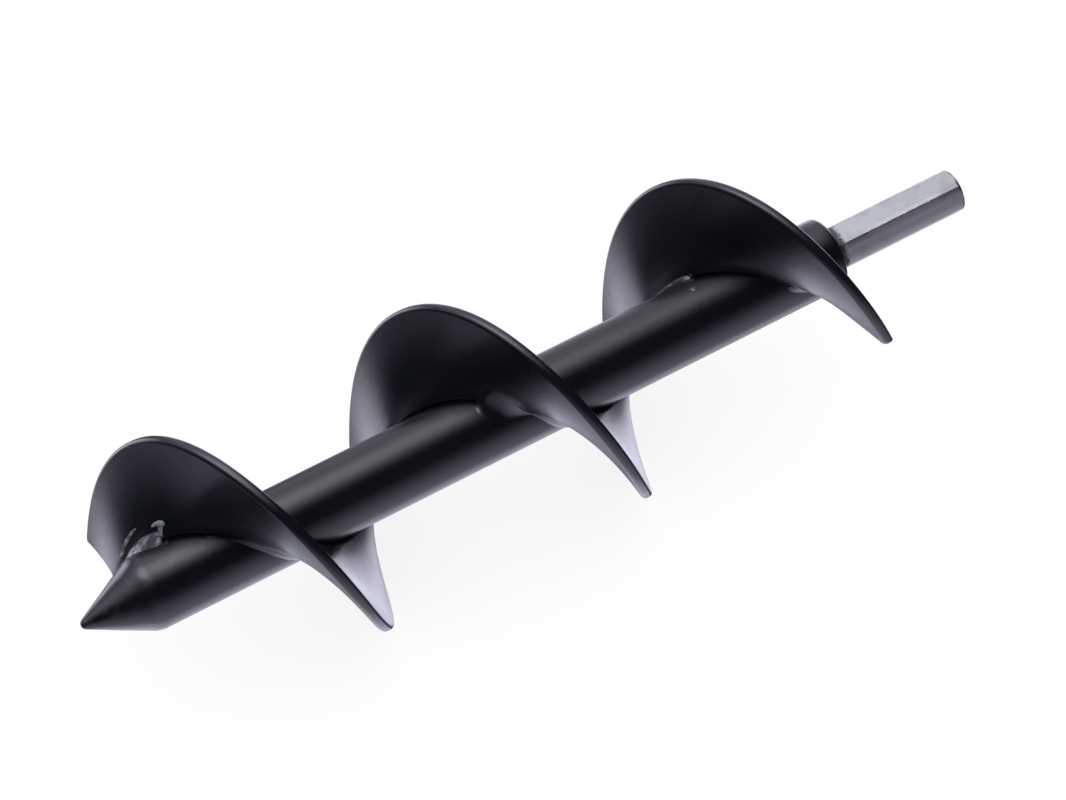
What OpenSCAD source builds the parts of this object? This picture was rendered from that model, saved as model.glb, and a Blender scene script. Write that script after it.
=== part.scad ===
// Spiral auger bit for a hand-held drill: a pointed steel tube that carries one
// continuous right-hand spiral flight, with a hexagonal bar in its other end for
// the chuck. All pieces are steel and are joined by welds, so nothing moves.
//
// Frame: the bit lies along X with its point towards -X and its shank towards +X.
// The origin is on the axis, at the end face of the tube where the shank comes out.
// Angles about the axis are measured from +Y towards +Z.

/* [Tube] */
// Outside diameter of the shaft tube (mm)
tube_od = 14; // [13:0.5:20]
// Distance from the tip of the point to the tube's end face (mm)
body_length = 156; // [150:1:240]

/* [Point] */
// Length of the cone, from its tip to the tube (mm)
cone_length = 12.3; // [9:0.1:24]
// Radius of the rounded tip (mm)
tip_radius = 1.1; // [0.5:0.1:2]
// Length of the spigot that sits inside the tube (mm)
spigot_length = 10; // [5:1:20]

/* [Shank] */
// Width of the hexagonal shank across its flats (mm)
shank_flats = 8; // [6:0.5:8]
// Length of the shank outside the tube (mm)
shank_length = 28; // [18:1:45]
// Length of the shank inside the tube (mm)
shank_depth = 25; // [15:1:40]
// Length of the chamfer at each end of the shank (mm)
shank_chamfer = 0.8; // [0.3:0.1:1.2]

/* [Flight] */
// Outside diameter of the spiral flight (mm)
flight_od = 50; // [36:1:70]
// Distance the flight advances along the axis in one turn (mm)
flight_pitch = 54.6; // [44:0.1:56]
// Number of turns from the flight's first end to its last
flight_turns = 2.561; // [1.5:0.001:2.6]
// Distance from the tip of the point to the first end of the rim (mm)
flight_start = 12.8; // [12:0.1:15]
// Angle about the axis at which the rim starts (degrees)
flight_clock = -26.3; // [-180:0.1:180]
// Thickness of the strip at its rim (mm)
rim_thickness = 2; // [1.2:0.1:3]
// Thickness of the strip where it meets the tube (mm)
root_thickness = 3; // [1.6:0.1:4]
// How far the strip's inner edge leans towards the point (mm)
root_lean = 1.7; // [0:0.1:4]
// How much later the inner edge starts than the rim, along the spiral (degrees)
start_skew = 7.5; // [0:0.5:40]

/* [Welds] */
// How far the long fillet welds reach over the tube (mm)
stitch_leg = 2.2; // [1:0.1:3]
// How far the long fillet welds reach up the strip (mm)
stitch_rise = 3.6; // [1:0.1:5]
// Leg of the short tack welds (mm)
tack_leg = 2.7; // [1:0.1:3.5]
// Where a tack starts, along the spiral from the start of its turn (degrees)
tack_first = 46; // [40:1:90]
// Length of a tack along the spiral (degrees)
tack_span = 38; // [20:1:60]
// Where a long fillet starts, along the spiral from the start of its turn (degrees)
stitch_first = 112; // [100:1:200]
// Length of a long fillet along the spiral (degrees)
stitch_span = 150; // [60:1:200]
// Length of the weld that closes the flight's last end, along the spiral (degrees)
end_weld_span = 55; // [20:1:90]
// Depth of the ground-flush weld between cone and tube (mm)
point_weld_depth = 1.2; // [0.6:0.1:1.6]
// Depth of the weld in the countersink around the shank (mm)
shank_weld_depth = 1.5; // [0.6:0.1:2]

/* [Hidden] */

$fn = 96;
coat = "#26282e";
bare_steel = "#9a9ca0";

// Gap left between two pieces that meet, so that their surfaces stay apart
fit_gap = 0.03;
tube_r = tube_od / 2;
shank_corner_r = shank_flats / 2 / cos(30);
bar_clearance = 0.08;
bore_r = shank_corner_r + bar_clearance;
flight_r = flight_od / 2;
tip_x = -body_length;
cone_base_x = tip_x + cone_length;
// Angle between the cone's side and the axis
cone_slope = atan((tube_r - tip_radius) / (cone_length - tip_radius));

// The strip's inner edge stands off the tube by a hair, as do the facets' chords
facet_angle = 5;
root_r = tube_r / cos(facet_angle / 2) + fit_gap;
edge_break = 0.5;
flight_angle = 360 * flight_turns;
// Sections of the strip between its root and its rim
radial_steps = 4;

// A bead's size at its two ends, and where its crown stands, as shares of the full leg
blunt_end = 0.35;
crown_share = 0.58;
// Bare root left between the last fillet and the end of the strip (degrees)
last_stitch_gap = 12;
end_weld_gap = 3;

// Outline of a body of revolution, given as [x, radius] points, turned about X
module turned(profile) {
    rotate([0, 90, 0])
        rotate_extrude()
            polygon([for (p = profile) [p[1], p[0]]]);
}

// Hexagonal bar along X, with one flat facing up
module hex_bar(from_x, to_x, corner_r) {
    translate([from_x, 0, 0])
        rotate([30, 0, 0])
            rotate([0, 90, 0])
                cylinder(r = corner_r, h = to_x - from_x, $fn = 6);
}

module shaft_tube() {
    end_round = 0.7;
    color(coat)
        turned([
            [cone_base_x + fit_gap, bore_r],
            [cone_base_x + fit_gap, tube_r - point_weld_depth],
            [cone_base_x + point_weld_depth + fit_gap, tube_r],
            [-end_round, tube_r],
            for (a = [75:-15:15]) [-end_round * (1 - cos(a)), tube_r - end_round * (1 - sin(a))],
            [0, tube_r - end_round],
            [0, bore_r + shank_weld_depth],
            [-shank_weld_depth, bore_r]
        ]);
}

module cone_point() {
    centre_x = tip_x + tip_radius;
    spigot_clearance = 0.05;
    spigot_r = bore_r - spigot_clearance;
    spigot_end = cone_base_x + spigot_length;
    spigot_chamfer = 0.6;
    color(coat)
        turned([
            [tip_x, 0],
            // The cone's side leaves the round tip where both have the same direction
            for (a = [10:10:90 - cone_slope])
                [centre_x - tip_radius * cos(a), tip_radius * sin(a)],
            [cone_base_x - point_weld_depth, tube_r - point_weld_depth * tan(cone_slope)],
            [cone_base_x, tube_r - point_weld_depth],
            [cone_base_x, spigot_r],
            [spigot_end - spigot_chamfer, spigot_r],
            [spigot_end, spigot_r - spigot_chamfer],
            [spigot_end, 0]
        ]);
}

module hex_shank() {
    inner_x = -shank_depth;
    end_r = shank_corner_r - shank_chamfer;
    color(bare_steel)
        intersection() {
            hex_bar(inner_x, shank_length, shank_corner_r);
            turned([
                [inner_x, 0],
                [inner_x, end_r],
                [inner_x + shank_chamfer, shank_corner_r + fit_gap],
                [shank_length - shank_chamfer, shank_corner_r + fit_gap],
                [shank_length, end_r],
                [shank_length, 0]
            ]);
        }
}

// Strip thickness at radius r, tapering evenly from root to rim
function strip_thickness(r) =
    rim_thickness + (root_thickness - rim_thickness) * (flight_r - r) / (flight_r - root_r);

// Axial length of one millimetre measured square to the strip, at radius r
function helix_stretch(r) = sqrt(1 + pow(flight_pitch / (2 * PI * r), 2));

// Axial position of the strip's middle surface, a degrees along the spiral
function flight_x(a, r) =
    tip_x + flight_start + flight_pitch * a / 360
    - root_lean * (flight_r - r) / (flight_r - root_r);

// Point at radius r and angle a along the spiral, moved along the axis by shift
function spiral_point(a, r, shift) =
    [flight_x(a, r) + shift, r * cos(a + flight_clock), r * sin(a + flight_clock)];

// Angle along the spiral of station u (0 to 1) at radius r, with the first end cut askew
function station_angle(u, r) =
    let (first = start_skew * (flight_r - r) / (flight_r - root_r))
    first + (flight_angle - first) * u;

// Closed solid through rings of points, every ring having the same number of points
module lofted(rings) {
    count = len(rings[0]);
    last = len(rings) - 1;
    sides = [
        for (i = [0:last - 1], j = [0:count - 1])
            let (k = (j + 1) % count, a = i * count, b = a + count)
            each [[a + j, b + j, a + k], [a + k, b + j, b + k]]
    ];
    caps = [
        for (j = [1:count - 2])
            each [[0, j, j + 1], [last * count, last * count + j + 1, last * count + j]]
    ];
    polyhedron(points = [for (ring = rings) each ring], faces = concat(sides, caps));
}

module spiral_flight() {
    steps = ceil(flight_angle / facet_angle);
    face_width = flight_r - edge_break - root_r;
    // Each pair is a radius and half the thickness there, from the root outwards
    half = [
        for (i = [0:radial_steps])
            let (r = root_r + face_width * i / radial_steps) [r, strip_thickness(r) / 2],
        [flight_r, rim_thickness / 2 - edge_break]
    ];
    n = len(half);
    outline = [
        for (i = [0:n - 1]) [half[i][0], -half[i][1]],
        for (i = [n - 1:-1:0]) [half[i][0], half[i][1]]
    ];
    color(coat)
        lofted([
            for (s = [0:steps])
                [for (p = outline)
                    spiral_point(station_angle(s / steps, p[0]), p[0], p[1] * helix_stretch(p[0]))]
        ]);
}

// Fillet weld in the corner between tube and strip, starting at angle first along the spiral.
// leg is its reach over the tube and rise its reach up the strip. side is -1 on the face
// towards the point and 1 on the face towards the shank.
module root_fillet(first, span, leg, rise, side) {
    steps = ceil(span / facet_angle);
    seat_r = root_r + fit_gap;
    stretch = helix_stretch(seat_r);
    lofted([
        for (s = [0:steps])
            let (a = first + span * s / steps,
                 size = blunt_end + (1 - blunt_end) * sqrt(sin(180 * s / steps)),
                 foot = side * (strip_thickness(seat_r) / 2 + fit_gap) * stretch,
                 reach = side * leg * size * stretch,
                 top_r = seat_r + rise * size,
                 crown_r = seat_r + crown_share * rise * size,
                 top = side * (strip_thickness(top_r) / 2 + fit_gap) * helix_stretch(top_r),
                 corner = spiral_point(a, seat_r, foot),
                 toe = spiral_point(a, seat_r, foot + reach),
                 crown = spiral_point(a, crown_r, foot + crown_share * reach),
                 upper = spiral_point(a, top_r, top))
            side < 0 ? [corner, toe, crown, upper] : [corner, upper, crown, toe]
    ]);
}

// Weld ground flush into the groove between the cone and the tube
module point_weld() {
    color(coat)
        turned([
            [cone_base_x - point_weld_depth + fit_gap,
             tube_r - (point_weld_depth - fit_gap) * tan(cone_slope)],
            [cone_base_x, tube_r],
            [cone_base_x + point_weld_depth, tube_r],
            [cone_base_x + fit_gap / 2, tube_r - point_weld_depth + fit_gap]
        ]);
}

// Weld that fills the countersink in the tube's end, around the hexagonal shank
module shank_weld() {
    outer_r = bore_r + shank_weld_depth - fit_gap;
    proud = 0.5;
    crown_fall = 0.7;
    overlap = 1;
    difference() {
        color(coat)
            turned([
                [-shank_weld_depth + 2 * fit_gap, 0],
                [-shank_weld_depth + 2 * fit_gap, outer_r - shank_weld_depth + 2 * fit_gap],
                [0, outer_r],
                [proud, outer_r - crown_fall],
                [proud, 0]
            ]);
        hex_bar(-shank_weld_depth - overlap, proud + overlap, shank_corner_r + fit_gap);
    }
}

// Short tacks in the first and third turns, on the point's side
module tack_welds() {
    for (turn = [0, 2])
        let (first = 360 * turn + tack_first)
            if (first + tack_span < flight_angle)
                color(coat)
                    root_fillet(first, tack_span, tack_leg, tack_leg, -1);
}

// One long fillet in each turn, on the side towards the point
module root_stitches() {
    room_needed = 20;
    for (turn = [0:2])
        let (first = 360 * turn + stitch_first,
             room = flight_angle - last_stitch_gap - first)
            if (room > room_needed)
                color(coat)
                    root_fillet(first, min(stitch_span, room), stitch_leg, stitch_rise, -1);
}

// Weld on the shank's side that closes the flight's last end
module end_weld() {
    color(coat)
        root_fillet(flight_angle - end_weld_span - end_weld_gap, end_weld_span,
                    tack_leg, tack_leg, 1);
}

shaft_tube();
cone_point();
hex_shank();
spiral_flight();
point_weld();
shank_weld();
tack_welds();
root_stitches();
end_weld();
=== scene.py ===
import math

import bmesh
import bpy
import numpy as np
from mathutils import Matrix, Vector, noise


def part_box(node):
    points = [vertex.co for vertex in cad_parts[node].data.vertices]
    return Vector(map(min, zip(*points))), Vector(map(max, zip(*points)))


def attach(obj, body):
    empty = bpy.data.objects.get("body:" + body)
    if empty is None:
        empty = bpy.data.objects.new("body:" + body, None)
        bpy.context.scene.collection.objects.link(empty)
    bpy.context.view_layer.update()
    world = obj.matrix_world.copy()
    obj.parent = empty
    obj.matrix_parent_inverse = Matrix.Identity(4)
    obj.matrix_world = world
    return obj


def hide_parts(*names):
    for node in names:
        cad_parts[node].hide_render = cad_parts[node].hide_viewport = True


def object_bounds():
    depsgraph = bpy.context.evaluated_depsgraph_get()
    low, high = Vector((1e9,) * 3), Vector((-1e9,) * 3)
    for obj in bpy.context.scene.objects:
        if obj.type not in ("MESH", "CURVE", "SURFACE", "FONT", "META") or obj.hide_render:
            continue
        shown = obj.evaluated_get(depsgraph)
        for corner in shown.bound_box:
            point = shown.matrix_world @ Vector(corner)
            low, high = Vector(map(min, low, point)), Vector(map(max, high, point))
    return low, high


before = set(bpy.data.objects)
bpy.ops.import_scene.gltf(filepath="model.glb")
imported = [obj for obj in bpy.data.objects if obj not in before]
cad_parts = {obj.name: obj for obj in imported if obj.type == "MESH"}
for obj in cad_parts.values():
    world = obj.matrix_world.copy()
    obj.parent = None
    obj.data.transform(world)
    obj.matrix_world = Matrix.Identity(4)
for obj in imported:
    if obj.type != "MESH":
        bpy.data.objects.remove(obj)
cad_low, cad_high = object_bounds()

# The bit lies along X: its point towards -X, its shank towards +X, the axis at y = z = 0.
# Lengths are in metres. Angles about the axis are in radians from +Y towards +Z.
MM = 0.001

# Sizes read from the frame
TUBE_LOW, TUBE_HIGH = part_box("shaft_tube")
SHANK_LOW, SHANK_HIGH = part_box("hex_shank")
FLIGHT_LOW, FLIGHT_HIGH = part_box("spiral_flight")
TIP_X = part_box("cone_point")[0].x
TUBE_R = (TUBE_HIGH.z - TUBE_LOW.z) / 2
CONE_BASE_X = TUBE_LOW.x
FLIGHT_R = min(FLIGHT_HIGH.y, FLIGHT_HIGH.z, -FLIGHT_LOW.y, -FLIGHT_LOW.z)
SHANK_FLATS = SHANK_HIGH.z - SHANK_LOW.z

# The spiral strip, as the CAD model has it
PITCH = 54.6 * MM
TURNS = 2.561
FLIGHT_START = TIP_X + 12.8 * MM
CLOCK = math.radians(-26.3)
RIM_THICKNESS = 2.0 * MM
ROOT_THICKNESS = 3.0 * MM
ROOT_LEAN = 1.7 * MM
START_SKEW = math.radians(7.5)
LAST_ANGLE = TURNS * math.tau

# The turned parts
TIP_RADIUS = 1.1 * MM
POINT_WELD_DEPTH = 1.2 * MM
SHANK_WELD_DEPTH = 1.5 * MM
BORE_R = SHANK_FLATS / 2 / math.cos(math.radians(30)) + 0.08 * MM
BURY = 0.5 * MM

SEGMENTS = 160


# ---------------------------------------------------------------- meshes

def new_object(name, points, faces, smooth_below=40):
    """A mesh object whose edges are smooth where they bend less than smooth_below degrees."""
    mesh = bpy.data.meshes.new(name)
    mesh.from_pydata([tuple(p) for p in points], [], faces)
    mesh.validate()
    shell = bmesh.new()
    shell.from_mesh(mesh)
    bmesh.ops.recalc_face_normals(shell, faces=shell.faces)
    shell.to_mesh(mesh)
    shell.free()
    mesh.shade_smooth()
    mesh.set_sharp_from_angle(angle=math.radians(smooth_below))
    obj = bpy.data.objects.new(name, mesh)
    bpy.context.scene.collection.objects.link(obj)
    return obj


def loft(rings, ring_shaped=False):
    """Points and faces of a skin over rings that all have the same number of points.

    The last ring is joined to the first if the piece is ring shaped, and both are capped if not.
    """
    count = len(rings[0])
    points = [p for ring in rings for p in ring]
    faces = []
    for i in range(len(rings) if ring_shaped else len(rings) - 1):
        low = i * count
        high = (i + 1) % len(rings) * count
        for j in range(count):
            k = (j + 1) % count
            faces.append((low + j, low + k, high + k, high + j))
    if not ring_shaped:
        last_ring = (len(rings) - 1) * count
        faces.append(tuple(range(count - 1, -1, -1)))
        faces.append(tuple(range(last_ring, last_ring + count)))
    return points, faces


def turned(profile, segments=SEGMENTS, hollow=False):
    """Points and faces of (x, radius) points turned about X. A radius of 0 closes an end.

    The last point is joined to the first if the piece is hollow.
    """
    points = []
    rows = []
    for x, radius in profile:
        if radius <= 0:
            rows.append([len(points)] * segments)
            points.append((x, 0, 0))
            continue
        rows.append(list(range(len(points), len(points) + segments)))
        for s in range(segments):
            a = math.tau * s / segments
            points.append((x, radius * math.cos(a), radius * math.sin(a)))
    next_rows = rows[1:] + rows[:1] if hollow else rows[1:]
    faces = []
    for low, high in zip(rows, next_rows):
        for s in range(segments):
            t = (s + 1) % segments
            corners = (low[s], high[s], high[t], low[t])
            face = tuple(dict.fromkeys(corners))
            if len(face) > 2:
                faces.append(face)
    return points, faces


def merged(*shells):
    """Several shells as one list of points and one of faces."""
    points, faces = [], []
    for some_points, some_faces in shells:
        shift = len(points)
        points += [tuple(p) for p in some_points]
        faces += [tuple(i + shift for i in face) for face in some_faces]
    return points, faces


def arc(cx, cy, radius, start, stop, steps):
    """Points on an arc about (cx, cy), from start to stop degrees, both included."""
    angles = [math.radians(start + (stop - start) * i / steps) for i in range(steps + 1)]
    return [(cx + radius * math.cos(a), cy + radius * math.sin(a)) for a in angles]


def line(x0, y0, x1, y1, steps):
    """Points between two ends, without the ends themselves."""
    return [(x0 + (x1 - x0) * i / steps, y0 + (y1 - y0) * i / steps) for i in range(1, steps)]


def uneven(point, size, depth):
    """A small smooth offset that varies over a distance of about size."""
    return depth * noise.noise(Vector(point) / size)


def ease(t):
    """0 below 0, 1 above 1 and smooth between."""
    t = min(max(t, 0), 1)
    return t * t * (3 - 2 * t)


# ---------------------------------------------------------------- the spiral strip

def across(r):
    """0 at the rim and 1 at the tube."""
    return min(max((FLIGHT_R - r) / (FLIGHT_R - TUBE_R), 0), 1)


def strip_thickness(r):
    """Measured square to the strip, at radius r."""
    return RIM_THICKNESS + (ROOT_THICKNESS - RIM_THICKNESS) * across(r)


def helix_stretch(r):
    """Axial length of one unit measured square to the strip, at radius r."""
    return math.sqrt(1 + (PITCH / (math.tau * r)) ** 2)


def rim_wave(a):
    """The strip was coiled by force, so its rim wanders a little along the axis."""
    long_wave = 0.16 * MM * math.sin(1.7 * a + 0.6)
    short_wave = 0.09 * MM * math.sin(3.9 * a + 2.1)
    return long_wave + short_wave


def flight_x(a, r):
    """Axial position of the strip's middle surface, at angle a along the spiral."""
    even = FLIGHT_START + PITCH * a / math.tau - ROOT_LEAN * across(r)
    return even + rim_wave(a) * (1 - across(r)) ** 1.5


def spiral_point(a, r, shift):
    """The point at angle a along the spiral and radius r, shifted along the axis."""
    turn = a + CLOCK
    return (flight_x(a, r) + shift, r * math.cos(turn), r * math.sin(turn))


def rounded(distance, radius):
    """How far a corner of this radius cuts in, at a distance from the end."""
    if distance >= radius:
        return 0
    return radius - math.sqrt(radius ** 2 - (radius - distance) ** 2)


def strip_outline():
    """(radius, side, cut) round the strip's section; cut is how much thinner a corner makes it."""
    rim_corner = 0.75 * MM
    rim_steps = 8
    before_rim_corner = 0.12 * MM
    root_corner = 0.95 * MM
    root_sink = 0.25 * MM
    face_stations = 14
    first = TUBE_R + root_corner
    last = FLIGHT_R - rim_corner
    half = [(TUBE_R - root_sink, root_corner)]
    for t in (0, 0.25, 0.5, 0.75):
        half.append((TUBE_R + root_corner * t, root_corner * (1 - t) ** 2))
    for i in range(face_stations):
        half.append((first + (last - first) * (i / face_stations) ** 0.85, 0.0))
    half.append((last - before_rim_corner, 0.0))
    for i in range(rim_steps + 1):
        a = math.pi / 2 * i / rim_steps
        half.append((last + rim_corner * math.sin(a), rim_corner * (1 - math.cos(a))))
    return [(r, -1, cut) for r, cut in half] + [(r, 1, cut) for r, cut in reversed(half)]


def flight_stations():
    """Angles along the rim, close together at the two cut ends."""
    end = math.radians(7)
    end_count = 16
    middle_count = 520
    near = [end * (i / end_count) ** 2 for i in range(end_count)]
    middle = list(np.linspace(end, LAST_ANGLE - end, middle_count))
    return near + middle + [LAST_ANGLE - a for a in reversed(near)]


def make_flight():
    """The strip. Its outer corners are rounded in plan and its cut ends in thickness."""
    plan_corner = 1.3 * MM
    edge_corner = 0.6 * MM
    thinnest_half = 0.05 * MM
    outline = strip_outline()
    rings = []
    for station in flight_stations():
        u = station / LAST_ANGLE
        end_distance = min(station, LAST_ANGLE - station) * FLIGHT_R
        plan_cut = rounded(end_distance, plan_corner)
        thinner = rounded(end_distance, edge_corner)
        ring = []
        for r, side, cut in outline:
            first = START_SKEW * across(r)
            a = first + (LAST_ANGLE - first) * u
            reach = r - plan_cut * (1 - across(r)) ** 4
            half = max(strip_thickness(r) / 2 - cut - thinner, thinnest_half)
            ring.append(spiral_point(a, reach, side * half * helix_stretch(r)))
        rings.append(ring)
    return new_object("flight", *loft(rings))


# ---------------------------------------------------------------- welds

def swelling(distance, length):
    """How full a bead is at a distance from its end. Short ends are round and long ones slender."""
    longest_round_end = 4 * MM
    t = min(max(distance / length, 0), 1)
    return math.sqrt(1 - (1 - t) ** 2) if length < longest_round_end else ease(t)


def bezier(p0, p1, p2, p3, t):
    """Point at t, from 0 to 1, on a curve from p0 to p3 that p1 and p2 pull on."""
    return p0 * (1 - t) ** 3 + p1 * 3 * t * (1 - t) ** 2 + p2 * 3 * t ** 2 * (1 - t) + p3 * t ** 3


def root_weld(first, last, side, tube_leg, strip_leg, fullness, lead, tail, crease=0, lumps=0):
    """A bead in the corner between tube and strip, from one angle along the spiral to another.

    side is -1 on the strip's face towards the point. The legs are how far the bead reaches over
    the tube and up the strip. fullness is 0 for a hollow face and 1 for a bulging one. The bead
    swells over the length lead and fades over the length tail. Its edge runs smoothly into the
    tube if crease is 0, and meets it at an angle if crease is 1. Both of its edges end a little
    under the surfaces that they run into.
    """
    ring_spacing = 0.2 * MM
    fewest_rings = 24
    columns = 18
    column_width = 0.28 * MM
    smallest_size = 0.03
    edge_under_face = 0.02 * MM
    sink = 0.06 * MM
    sink_run = 0.5 * MM
    bury = 0.7 * MM
    leg_change = 0.05 + 0.25 * lumps
    pull = 0.68 - 0.45 * fullness
    upper_pull = pull - 0.29 * crease
    bulge = max(0, fullness - 0.3) * 0.9

    stretch = helix_stretch(TUBE_R)
    foot = side * strip_thickness(TUBE_R) / 2 * stretch
    corner = Vector((foot, TUBE_R))
    turn_per_reach = side * PITCH / (math.tau * TUBE_R ** 2 * stretch ** 2)

    def square_to_strip(a, x, r):
        """The point that is reached by leaving the strip at angle a and going square to it."""
        return spiral_point(a - turn_per_reach * abs(x - foot), r, x)

    length = (last - first) * TUBE_R * stretch
    steps = max(fewest_rings, int(length / ring_spacing))
    rings = []
    for s in range(steps + 1):
        a = first + (last - first) * s / steps
        along = length * s / steps
        size = max(swelling(along, lead) * swelling(length - along, tail), smallest_size)
        low = tube_leg * size * (1 + uneven((along, 0, side), 3.1 * MM, leg_change))
        high = strip_leg * size * (1 + uneven((0, along, side), 3.6 * MM, leg_change))
        if side < 0:
            room_before_cone = abs(flight_x(a, TUBE_R) + foot - CONE_BASE_X) / stretch
            low = min(low, room_before_cone)
        top_r = TUBE_R + high
        top_x = side * (strip_thickness(top_r) / 2 - edge_under_face) * helix_stretch(top_r)
        toe = Vector((foot + side * low * stretch, TUBE_R))
        top = Vector((top_x, top_r))
        outward = (toe + top) / 2 - corner
        after_toe = toe.lerp(corner.lerp(top, crease), pull) + outward * bulge
        before_top = top.lerp(corner, upper_pull) + outward * bulge
        ring = [square_to_strip(a, toe.x + side * sink_run, TUBE_R - sink)]
        for c in range(columns + 1):
            t = c / columns
            grain = uneven((along, c * column_width, side * MM), 1.5 * MM, 0.6 * MM)
            swell = outward.normalized() * lumps * size * math.sin(math.pi * t) * grain
            p = bezier(toe, after_toe, before_top, top, t) + swell
            ring.append(square_to_strip(a, p.x, p.y))
        ring.append(spiral_point(a, top_r + sink_run, top_x - side * sink))
        ring.append(spiral_point(a, top_r, top_x - side * bury))
        ring.append(spiral_point(a, TUBE_R - bury, foot - side * bury))
        rings.append(ring)
    return loft(rings)


def curve_through(stops, count):
    """count + 1 points on a smooth curve through the stops."""
    ends = [stops[0], *stops, stops[-1]]
    points = []
    for s in range(count + 1):
        place_on = s / count * (len(stops) - 1)
        i = min(int(place_on), len(stops) - 2)
        u = place_on - i
        p0, p1, p2, p3 = (np.array(p) for p in ends[i:i + 4])
        straight = p2 - p0
        square = 2 * p0 - 5 * p1 + 4 * p2 - p3
        cube = 3 * (p1 - p2) + p3 - p0
        points.append(p1 + 0.5 * u * (straight + u * (square + u * cube)))
    return points


def face_run(stops, radius, height):
    """A low round run of weld over the strip's face towards the point.

    stops are (angle along the spiral, height above the tube) points that it passes through.
    """
    steps = 28
    columns = 12
    lean = 0.3
    rings = []
    for s, (a, above_tube) in enumerate(curve_through(stops, steps)):
        r = TUBE_R + above_tube
        size = math.sqrt(max(1 - (2 * s / steps - 1) ** 4, 0.01))
        size *= 1 + uneven((s * 0.2 * MM, 0, 0), 0.9 * MM, 0.3)
        face = -strip_thickness(r) / 2 * helix_stretch(r)
        ring = []
        for k in range(columns):
            round_angle = math.tau * k / columns
            out = radius * size * math.cos(round_angle)
            lift = height * size * math.sin(round_angle)
            ring.append(spiral_point(a - lift * lean / r, r + out, face - lift))
        rings.append(ring)
    return loft(rings)


def weld_drop(x, r, turn_angle, radius, stretched):
    """A drop of weld metal about the point at x and radius r, turn_angle about the axis.

    stretched is its height away from the axis, as a multiple of its width.
    """
    half_circle = arc(0, 0, 1, 180, 0, 12)[1:-1]
    points, faces = turned([(-1, 0)] + half_circle + [(1, 0)], segments=24)
    along = Vector((1, 0, 0))
    outward = Vector((0, math.cos(turn_angle), math.sin(turn_angle)))
    around = Vector((0, -outward.z, outward.y))
    centre = along * x + outward * r
    moved = []
    for point in points:
        k = radius * (1 + uneven(point, 0.9, 0.25))
        offset = outward * point[0] * stretched + around * point[1] + along * point[2]
        moved.append(centre + offset * k)
    return moved, faces


def strip_angle(turns, degrees):
    """Angle along the spiral after so many whole turns and degrees."""
    return math.radians(360 * turns + degrees)


def new_weld(name, shell):
    """A weld object. Its lumps look smooth, and only its sharpest creases show."""
    return new_object(name, *shell, smooth_below=75)


def stitch(name, first, last, **shape):
    """A root weld on the strip's face towards the point."""
    return new_weld(name, root_weld(first, last, side=-1, **shape))


def make_first_tack():
    """The start weld: a full, lumpy bead."""
    return stitch(
        "tack_weld_1", strip_angle(0, 22), strip_angle(0, 73),
        tube_leg=2.1 * MM, strip_leg=2.1 * MM, fullness=0.6,
        lead=3.5 * MM, tail=2.0 * MM, lumps=0.35,
    )


def make_first_runs():
    """Two runs over the start weld: a thin one above it and a hooked one where it stopped."""
    thin_run = face_run(
        [
            (strip_angle(0, 24), 2.2 * MM),
            (strip_angle(0, 35), 3.5 * MM),
            (strip_angle(0, 47), 4.2 * MM),
        ],
        radius=0.28 * MM, height=0.5 * MM,
    )
    hooked_run = face_run(
        [
            (strip_angle(0, 64), 3.0 * MM),
            (strip_angle(0, 69), 3.3 * MM),
            (strip_angle(0, 72), 2.9 * MM),
            (strip_angle(0, 71), 2.0 * MM),
            (strip_angle(0, 70), 0.6 * MM),
        ],
        radius=0.4 * MM, height=0.7 * MM,
    )
    stop = strip_angle(0, 71)
    drop_x, drop_y, drop_z = spiral_point(stop, TUBE_R + 3.0 * MM, -1.75 * MM)
    drop = weld_drop(drop_x, math.hypot(drop_y, drop_z), stop + CLOCK, 0.6 * MM, 1.0)
    return new_weld("tack_runs_1", merged(thin_run, hooked_run, drop))


def make_second_tack():
    """The tack on the third turn."""
    return stitch(
        "tack_weld_2", strip_angle(2, 30), strip_angle(2, 73),
        tube_leg=1.4 * MM, strip_leg=1.0 * MM, fullness=0.45,
        lead=3.5 * MM, tail=2.0 * MM, lumps=0.3,
    )


def make_spatter():
    """A flat drop of weld metal on the tube, beside the tack on the third turn."""
    from_tip = 127.2 * MM
    turn_angle = math.radians(77)
    return new_weld("weld_spatter", weld_drop(TIP_X + from_tip, TUBE_R, turn_angle, 0.6 * MM, 0.4))


def make_root_welds():
    """The long welds along the strip's root, from the point on. The second is a heavy one."""
    return [
        stitch(
            "root_weld_1", strip_angle(0, 112), strip_angle(0, 285),
            tube_leg=2.3 * MM, strip_leg=2.6 * MM, fullness=0,
            lead=26 * MM, tail=10 * MM, crease=0.8,
        ),
        stitch(
            "root_weld_2", strip_angle(1, 112), strip_angle(1, 172),
            tube_leg=2.5 * MM, strip_leg=4.4 * MM, fullness=0,
            lead=1.8 * MM, tail=7 * MM,
        ),
        stitch(
            "root_weld_3", strip_angle(1, 154), strip_angle(1, 285),
            tube_leg=1.9 * MM, strip_leg=2.7 * MM, fullness=0,
            lead=12 * MM, tail=10 * MM, crease=0.8,
        ),
        stitch(
            "root_weld_4", strip_angle(2, 166), LAST_ANGLE,
            tube_leg=0.8 * MM, strip_leg=0.8 * MM, fullness=0.6,
            lead=1.8 * MM, tail=6 * MM, crease=0.3,
        ),
    ]


def make_end_weld():
    """The weld that closes the strip's last end, on its face towards the drill."""
    bead = root_weld(
        LAST_ANGLE - math.radians(58), LAST_ANGLE - math.radians(3), side=1,
        tube_leg=2.6 * MM, strip_leg=2.6 * MM, fullness=0.6,
        lead=3 * MM, tail=3 * MM, lumps=0.3,
    )
    return new_weld("last_end_weld", bead)


# ---------------------------------------------------------------- tube, point and shank

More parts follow.
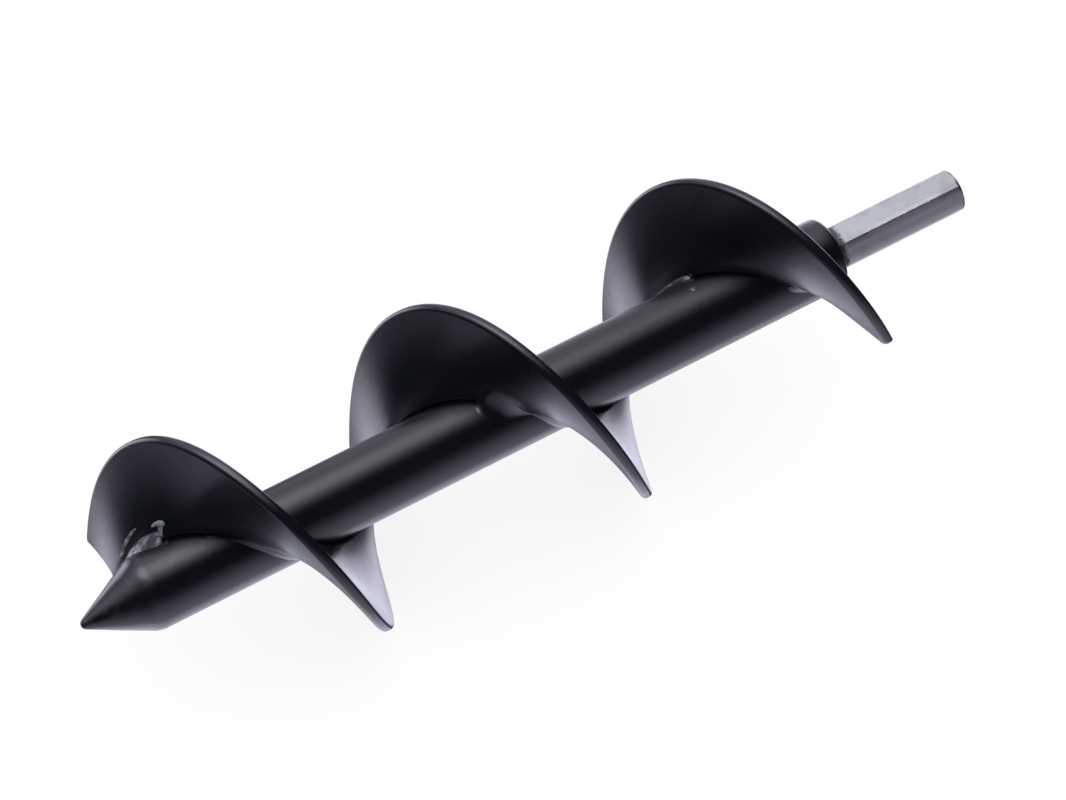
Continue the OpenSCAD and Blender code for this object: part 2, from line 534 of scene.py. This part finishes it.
def cone_slope():
    """Angle between the cone's side and the axis. The side touches the tip's small ball."""
    run = CONE_BASE_X - TIP_X - TIP_RADIUS
    slope = math.atan2(TUBE_R, run)
    for _ in range(20):
        rise = TUBE_R - TIP_RADIUS * math.cos(slope)
        slope = math.atan2(rise, run + TIP_RADIUS * math.sin(slope))
    return slope


def coat_waves(points):
    """The coat over the ground point is a little wavy. It is even again on the tube."""
    depth = 0.012
    fade_run = 2.4 * MM
    result = []
    for x, y, z in points:
        fade = ease((CONE_BASE_X + fade_run - x) / fade_run)
        broad = uneven((x, y, z), 3.2 * MM, depth)
        fine = uneven((z, x, y), 1.3 * MM, depth * 0.3)
        k = 1 + fade * (broad + fine)
        result.append((x, y * k, z * k))
    return result


def shoulder_radius():
    """Radius of the soft bend between cone and tube."""
    return POINT_WELD_DEPTH / math.tan(cone_slope() / 2)


def make_cone():
    """The point: a small ball, the cone's side and a flat back inside the weld."""
    slope = cone_slope()
    bend = shoulder_radius()
    tip = arc(TIP_X + TIP_RADIUS, 0, TIP_RADIUS, 180, 90 + math.degrees(slope), 12)
    tip[0] = (TIP_X, 0)
    side_x, side_r = tip[-1]
    end_x = CONE_BASE_X + POINT_WELD_DEPTH - bend * math.sin(slope)
    end_r = TUBE_R - bend + bend * math.cos(slope)
    side = line(side_x, side_r, end_x, end_r, 40)
    points, faces = turned(tip + side + [(end_x, end_r), (end_x, 0)])
    return new_object("point", coat_waves(points), faces)


def make_point_weld():
    """The weld between cone and tube, ground to a soft shoulder that runs into both."""
    bend = shoulder_radius()
    end_x = CONE_BASE_X + POINT_WELD_DEPTH
    shoulder = arc(end_x, TUBE_R - bend, bend, 90, 90 + math.degrees(cone_slope()), 16)
    last_x, last_r = shoulder[-1]
    profile = [(end_x, TUBE_R - BURY)] + shoulder + [(last_x, last_r - BURY)]
    points, faces = turned(profile, hollow=True)
    return new_object("point_weld_bead", coat_waves(points), faces)


def make_tube():
    """The tube, from the point's weld to its rounded end, with its bore and a countersink."""
    end_round = 0.9 * MM
    first_x = CONE_BASE_X + POINT_WELD_DEPTH
    profile = [(first_x, TUBE_R - BURY), (first_x, TUBE_R)]
    profile += line(first_x, TUBE_R, -end_round, TUBE_R, 90)
    profile += arc(-end_round, TUBE_R - end_round, end_round, 90, 0, 8)
    profile += [(0, BORE_R + SHANK_WELD_DEPTH), (-SHANK_WELD_DEPTH, BORE_R), (first_x, BORE_R)]
    points, faces = turned(profile, hollow=True)
    return new_object("tube", coat_waves(points), faces)


def make_shank_weld():
    """A lumpy ring that fills the countersink round the hexagon and stands a little proud."""
    inner_r = SHANK_FLATS / 2 - 0.2 * MM
    outer_r = BORE_R + SHANK_WELD_DEPTH - 0.1 * MM
    proud = 0.5 * MM
    edge_depth = 0.08 * MM
    columns = 12
    rings = []
    for s in range(SEGMENTS):
        a = math.tau * s / SEGMENTS
        ring = []
        for i in range(columns + 1):
            t = i / columns
            r = outer_r + (inner_r - outer_r) * t
            y, z = r * math.cos(a), r * math.sin(a)
            lumps = uneven((0, y, z), 2.2 * MM, 0.3)
            ripple = 0.05 * math.sin(26 * a + 4 * t)
            rise = math.sin(math.pi * min(t * 0.75 + 0.02, 1)) ** 0.7
            ring.append((proud * rise * min(0.85 + lumps + ripple, 1) - edge_depth, y, z))
        ring.append((-SHANK_WELD_DEPTH, inner_r * math.cos(a), inner_r * math.sin(a)))
        ring.append((-SHANK_WELD_DEPTH, outer_r * math.cos(a), outer_r * math.sin(a)))
        rings.append(ring)
    return new_object("shank_weld_bead", *loft(rings, ring_shaped=True), smooth_below=60)


def hexagon(x, limit):
    """One section of the shank at x. Its corners are cut at radius limit. One flat faces up."""
    corner_cut = 0.18 * MM
    steps_per_flat = 6
    flat_r = SHANK_FLATS / 2
    corner_r = flat_r / math.cos(math.radians(30)) - corner_cut
    points = []
    for flat in range(6):
        for i in range(steps_per_flat + 1):
            off = math.radians(60 * i / steps_per_flat - 30)
            a = math.radians(60 * flat + 30) + off
            reach = min(flat_r / math.cos(off), corner_r, limit)
            points.append((x, reach * math.cos(a), reach * math.sin(a)))
    return points


def make_shank():
    """Hexagonal bar with softened corners and a chamfered end."""
    sharp_r = SHANK_FLATS / 2 / math.cos(math.radians(30))
    inside_tube = SHANK_WELD_DEPTH + 4 * MM
    chamfer = 0.9 * MM
    chamfer_fall = 0.62
    chamfer_steps = 8
    chamfer_x = SHANK_HIGH.x - chamfer
    rings = [hexagon(-inside_tube, sharp_r)]
    for x, _ in line(-inside_tube, 0, chamfer_x, 0, 30):
        rings.append(hexagon(x, sharp_r))
    for i in range(chamfer_steps + 1):
        cut = chamfer * i / chamfer_steps
        rings.append(hexagon(chamfer_x + cut, sharp_r - chamfer_fall * cut))
    return new_object("shank", *loft(rings), smooth_below=25)


# ---------------------------------------------------------------- build

def place(obj, *nodes, slot="powder_coat"):
    """The piece rides on the bit and stands for these CAD nodes, which are hidden."""
    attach(obj, "root")
    if nodes:
        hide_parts(*nodes)
    return obj


coated = [
    place(make_flight(), "spiral_flight"),
    place(make_tube(), "shaft_tube"),
    place(make_cone(), "cone_point"),
    place(make_point_weld(), "point_weld"),
    place(make_shank_weld(), "shank_weld"),
    place(make_first_tack(), "tack_welds"),
    place(make_second_tack()),
]
first_root_weld, *later_root_welds = make_root_welds()
coated.append(place(first_root_weld, "root_stitches"))
coated += [place(weld) for weld in later_root_welds]
coated.append(place(make_end_weld(), "end_weld"))
raised = [place(make_first_runs()), place(make_spatter())]
shank = place(make_shank(), "hex_shank", slot="shank_steel")


# ---------------------------------------------------------------- materials

def link_or_set(tree, value, socket):
    """A plain number, a colour or another node's output goes into the socket."""
    if isinstance(value, (int, float, tuple)):
        socket.default_value = value
    else:
        tree.links.new(value, socket)


def math_node(tree, operation, *values):
    """Result of an operation on numbers or other nodes' outputs."""
    node = tree.nodes.new("ShaderNodeMath")
    node.operation = operation
    for socket, value in zip(node.inputs, values):
        link_or_set(tree, value, socket)
    return node.outputs[0]


def vector_node(tree, operation, first, second):
    """Result of an operation on two vectors."""
    node = tree.nodes.new("ShaderNodeVectorMath")
    node.operation = operation
    link_or_set(tree, first, node.inputs[0])
    link_or_set(tree, second, node.inputs[1])
    return node.outputs["Vector"]


def noise_node(tree, place_on, size, detail=2, roughness=0.5):
    """Noise whose blobs are about size across."""
    node = tree.nodes.new("ShaderNodeTexNoise")
    node.inputs["Scale"].default_value = 1 / size
    node.inputs["Detail"].default_value = detail
    node.inputs["Roughness"].default_value = roughness
    tree.links.new(place_on, node.inputs["Vector"])
    return node.outputs["Fac"]


def remap(tree, value, from_low, from_high, to_low, to_high, interpolation="LINEAR"):
    """A value moved from one range to another, and clamped to it."""
    node = tree.nodes.new("ShaderNodeMapRange")
    node.interpolation_type = interpolation
    node.inputs["From Min"].default_value = from_low
    node.inputs["From Max"].default_value = from_high
    node.inputs["To Min"].default_value = to_low
    node.inputs["To Max"].default_value = to_high
    tree.links.new(value, node.inputs["Value"])
    return node.outputs["Result"]


def blend(tree, factor, low, high):
    """low where factor is 0, high where it is 1. Both are colours."""
    node = tree.nodes.new("ShaderNodeMix")
    node.data_type = "RGBA"
    link_or_set(tree, factor, node.inputs["Factor"])
    link_or_set(tree, low, node.inputs["A"])
    link_or_set(tree, high, node.inputs["B"])
    return node.outputs["Result"]


def bump(tree, height, depth, below=None):
    """Normal of a height between 0 and 1 that stands for depth."""
    node = tree.nodes.new("ShaderNodeBump")
    node.inputs["Strength"].default_value = 1
    node.inputs["Distance"].default_value = depth
    tree.links.new(height, node.inputs["Height"])
    if below is not None:
        tree.links.new(below, node.inputs["Normal"])
    return node.outputs["Normal"]


def new_material(name):
    """A material, its node tree and its shader."""
    material = bpy.data.materials.new(name)
    material.use_nodes = True
    tree = material.node_tree
    return material, tree, tree.nodes["Principled BSDF"]


def place_and_axes(tree):
    """The place on the piece as a vector, and the node that splits it into X, Y and Z."""
    place_on = tree.nodes.new("ShaderNodeTexCoord").outputs["Object"]
    axes = tree.nodes.new("ShaderNodeSeparateXYZ")
    tree.links.new(place_on, axes.inputs[0])
    return place_on, axes.outputs


def powder_coat(name, wear_and_highlight):
    """Satin black coat: a faint orange peel, fine grain, and shine that varies a little.

    wear_and_highlight is how far the coat is made pale grey, from 0 to 1: partly worn coat and
    partly painted highlight on raised weld.
    """
    material, tree, shader = new_material(name)
    place_on, axes = place_and_axes(tree)
    blue_black = (0.0010, 0.0019, 0.0046, 1)
    black = (0.0024, 0.0031, 0.0056, 1)
    grain_black = (0.006, 0.007, 0.010, 1)
    dust_grey = (0.022, 0.024, 0.022, 1)
    rubbed_and_highlight_grey = (0.36, 0.37, 0.40, 1)
    dust_reach = 9 * MM

    cloud = noise_node(tree, place_on, 9 * MM, 3)
    peel = noise_node(tree, place_on, 1.6 * MM, 2)
    grain = noise_node(tree, place_on, 0.22 * MM, 2, 0.7)
    drawn_out = vector_node(tree, "MULTIPLY", place_on, (0.35, 1, 1))
    scuffs = noise_node(tree, drawn_out, 1.1 * MM, 4, 0.65)

    # The point has been in the ground: duller and a little paler towards its end
    near_tip = remap(tree, axes["X"], TIP_X + dust_reach, TIP_X, 0, 1)
    dust = math_node(tree, "MULTIPLY", near_tip, remap(tree, scuffs, 0.45, 0.75, 0, 1))
    # Painted highlight: this pale grey stands partly for worn coat and partly for glints on the
    # raised welds
    rubbed_and_highlight_mask = remap(tree, scuffs, 0.4, 0.6, 0.2 * wear_and_highlight, wear_and_highlight)
    colour = blend(tree, cloud, blue_black, black)
    colour = blend(tree, remap(tree, grain, 0.62, 0.8, 0, 0.3), colour, grain_black)
    colour = blend(tree, dust, colour, dust_grey)
    colour = blend(tree, rubbed_and_highlight_mask, colour, rubbed_and_highlight_grey)
    tree.links.new(colour, shader.inputs["Base Color"])

    rough = remap(tree, cloud, 0.3, 0.7, 0.245, 0.295)
    rough = math_node(tree, "ADD", rough, remap(tree, scuffs, 0.55, 0.8, 0, 0.05))
    rough = math_node(tree, "ADD", rough, math_node(tree, "MULTIPLY", dust, 0.12))
    tree.links.new(rough, shader.inputs["Roughness"])
    shader.inputs["IOR"].default_value = 1.5

    waves = bump(tree, peel, 0.014 * MM)
    tree.links.new(bump(tree, grain, 0.0022 * MM, waves), shader.inputs["Normal"])
    return material


def jaw_marks(tree, axes, speck):
    """1 on three bands along the bar, a third of a turn apart, where a chuck closes on it."""
    reach = SHANK_HIGH.x
    around = math_node(tree, "ARCTAN2", axes["Z"], axes["Y"])
    third = math_node(tree, "COSINE", math_node(tree, "MULTIPLY", around, 3.0))
    jaws = remap(tree, third, 0.80, 0.95, 0, 1)
    after_root = remap(tree, axes["X"], reach * 0.22, reach * 0.27, 0, 1)
    before_end = remap(tree, axes["X"], reach * 0.86, reach * 0.80, 0, 1)
    bands = math_node(tree, "MULTIPLY", after_root, before_end)
    marks = math_node(tree, "MULTIPLY", jaws, bands)
    return math_node(tree, "MULTIPLY", marks, remap(tree, speck, 0.35, 0.65, 0.2, 1))


def bare_steel():
    """Drawn bar: fine lines along it, marks from a chuck's jaws, coat overspray at its root."""
    material, tree, shader = new_material("shank_steel_bare")
    place_on, axes = place_and_axes(tree)
    dark_steel = (0.24, 0.24, 0.245, 1)
    light_steel = (0.40, 0.40, 0.405, 1)
    dull_steel = (0.20, 0.195, 0.19, 1)
    marked_steel = (0.52, 0.52, 0.52, 1)
    coat_black = (0.006, 0.007, 0.010, 1)
    ragged_by = 0.9 * MM
    full_spray_x = 1.5 * MM
    no_spray_x = 2.4 * MM

    drawn_out = vector_node(tree, "MULTIPLY", place_on, (0.02, 1, 1))
    lines = noise_node(tree, drawn_out, 0.12 * MM, 3, 0.6)
    cloud = noise_node(tree, place_on, 4 * MM, 3)
    speck = noise_node(tree, place_on, 0.5 * MM, 3, 0.7)
    marks = jaw_marks(tree, axes, speck)

    colour = blend(tree, lines, dark_steel, light_steel)
    colour = blend(tree, remap(tree, cloud, 0.5, 0.75, 0, 0.45), colour, dull_steel)
    colour = blend(tree, math_node(tree, "MULTIPLY", marks, 0.6), colour, marked_steel)
    ragged = remap(tree, speck, 0.2, 0.8, -ragged_by, ragged_by)
    ragged_x = math_node(tree, "ADD", axes["X"], ragged)
    sprayed = remap(tree, ragged_x, no_spray_x, full_spray_x, 0, 1)
    colour = blend(tree, sprayed, colour, coat_black)
    tree.links.new(colour, shader.inputs["Base Color"])
    tree.links.new(math_node(tree, "SUBTRACT", 1.0, sprayed), shader.inputs["Metallic"])

    rough = remap(tree, lines, 0.2, 0.8, 0.32, 0.46)
    rough = math_node(tree, "ADD", rough, math_node(tree, "MULTIPLY", marks, 0.08))
    tree.links.new(rough, shader.inputs["Roughness"])
    drawn = bump(tree, lines, 0.004 * MM)
    tree.links.new(bump(tree, marks, 0.01 * MM, drawn), shader.inputs["Normal"])
    return material


def give(material, pieces):
    """Every piece gets the material."""
    for piece in pieces:
        piece.data.materials.append(material)


give(powder_coat("powder_coat_black", wear_and_highlight=0), coated)
# The runs, hook, nub and spatter get a pale grey that is partly worn coat and partly painted
# highlight
give(powder_coat("powder_coat_rubbed_highlight", wear_and_highlight=0.55), raised)
give(bare_steel(), [shank])


# ---------------------------------------------------------------- stage, light and camera

def direction(azimuth, elevation):
    """Unit vector towards a place on the sky. Azimuth is from +X towards +Y, in degrees."""
    a, e = math.radians(azimuth), math.radians(elevation)
    return Vector((math.cos(a) * math.cos(e), math.sin(a) * math.cos(e), math.sin(e)))


# Soft panels round the object, as (azimuth, elevation, half width, soft edge, radiance), in
# degrees. Those above give a plain grey reflection, those beside and below a lavender one.
PANELS_ABOVE = [
    (101, 64, 13, 20, 3.7),
    (118, 54, 19, 38, 1.2),
    (60, 15, 18, 23, 0.9),
    (14, 82, 8, 13, 0.85),
]
PANELS_BELOW = [
    (112, -16, 14, 13, 2.9),
    (-96, -36, 3, 69, 1.45),
    (38, -24, 18, 18, 2.3),
    (-76, -83, 24, 8, 1.0),
    (155, -61, 26, 30, 0.5),
]
ROOM = 0.03
TINT_ABOVE = (0.98, 0.99, 1.10)
TINT_BELOW = (0.97, 0.96, 1.17)
TINT_ROOM = (0.8, 1.0, 1.6)
EVEN_WHITE = (1, 1, 1, 1)


def panel(tree, view, azimuth, elevation, half_width, soft_edge, radiance):
    """Radiance of one soft-edged round panel as seen along view."""
    facing = tree.nodes.new("ShaderNodeVectorMath")
    facing.operation = "DOT_PRODUCT"
    tree.links.new(view, facing.inputs[0])
    facing.inputs[1].default_value = direction(azimuth, elevation)
    angle = math_node(tree, "ARCCOSINE", facing.outputs["Value"])
    outer = math.radians(half_width + soft_edge)
    inner = math.radians(half_width)
    return remap(tree, angle, outer, inner, 0, radiance, "SMOOTHSTEP")


def tinted_panels(tree, view, panels, tint):
    """Colour of a group of panels."""
    total = 0
    for values in panels:
        total = math_node(tree, "ADD", panel(tree, view, *values), total)
    colour = tree.nodes.new("ShaderNodeVectorMath")
    colour.operation = "SCALE"
    colour.inputs[0].default_value = tint
    tree.links.new(total, colour.inputs["Scale"])
    return colour.outputs["Vector"]


def make_world():
    """A dim room with soft panels for reflections, and plain even white for everything else."""
    world = bpy.data.worlds.new("studio")
    world.use_nodes = True
    bpy.context.scene.world = world
    tree = world.node_tree
    view = tree.nodes.new("ShaderNodeTexCoord").outputs["Generated"]
    above = tinted_panels(tree, view, PANELS_ABOVE, TINT_ABOVE)
    below = tinted_panels(tree, view, PANELS_BELOW, TINT_BELOW)
    room = tuple(ROOM * channel for channel in TINT_ROOM)
    panels = vector_node(tree, "ADD", above, below)
    reflected = vector_node(tree, "ADD", panels, room)
    path = tree.nodes.new("ShaderNodeLightPath")
    colour = blend(tree, path.outputs["Is Glossy Ray"], EVEN_WHITE, reflected)
    tree.links.new(colour, tree.nodes["Background"].inputs["Color"])


def make_floor():
    """Pale floor that the bit lies on, lit so that the shadow stays faint.

    The coat reflects the panels below the horizon and not the floor.
    """
    half_size = 6.0
    floor_z = cad_low.z
    brightness = 0.22
    glow = 0.82
    signs = [(-1, -1), (1, -1), (1, 1), (-1, 1)]
    corners = [(x * half_size, y * half_size, floor_z) for x, y in signs]
    mesh = bpy.data.meshes.new("floor")
    mesh.from_pydata(corners, [], [(0, 1, 2, 3)])
    floor = bpy.data.objects.new("floor", mesh)
    bpy.context.scene.collection.objects.link(floor)
    floor.visible_glossy = False
    material, _, shader = new_material("pale_floor")
    shader.inputs["Base Color"].default_value = (brightness, brightness, brightness, 1)
    shader.inputs["Roughness"].default_value = 1
    shader.inputs["Specular IOR Level"].default_value = 0
    shader.inputs["Emission Color"].default_value = EVEN_WHITE
    shader.inputs["Emission Strength"].default_value = glow
    mesh.materials.append(material)


def make_camera():
    """Looks at the middle of the bit from above its point, along the photograph's view."""
    target = Vector(((cad_low.x + cad_high.x) / 2, 0, 0))
    place_from_tip = Vector((-147.9, -386.0, 616.5)) * MM
    camera = bpy.data.objects.new("camera", bpy.data.cameras.new("camera"))
    bpy.context.scene.collection.objects.link(camera)
    camera.data.sensor_width = 36
    camera.data.lens = 144
    camera.location = Vector((TIP_X, 0, 0)) + place_from_tip
    camera.rotation_mode = "QUATERNION"
    camera.rotation_quaternion = (target - camera.location).to_track_quat("-Z", "Y")
    bpy.context.scene.camera = camera


make_world()
make_floor()
make_camera()
bpy.context.scene.view_settings.view_transform = "Standard"
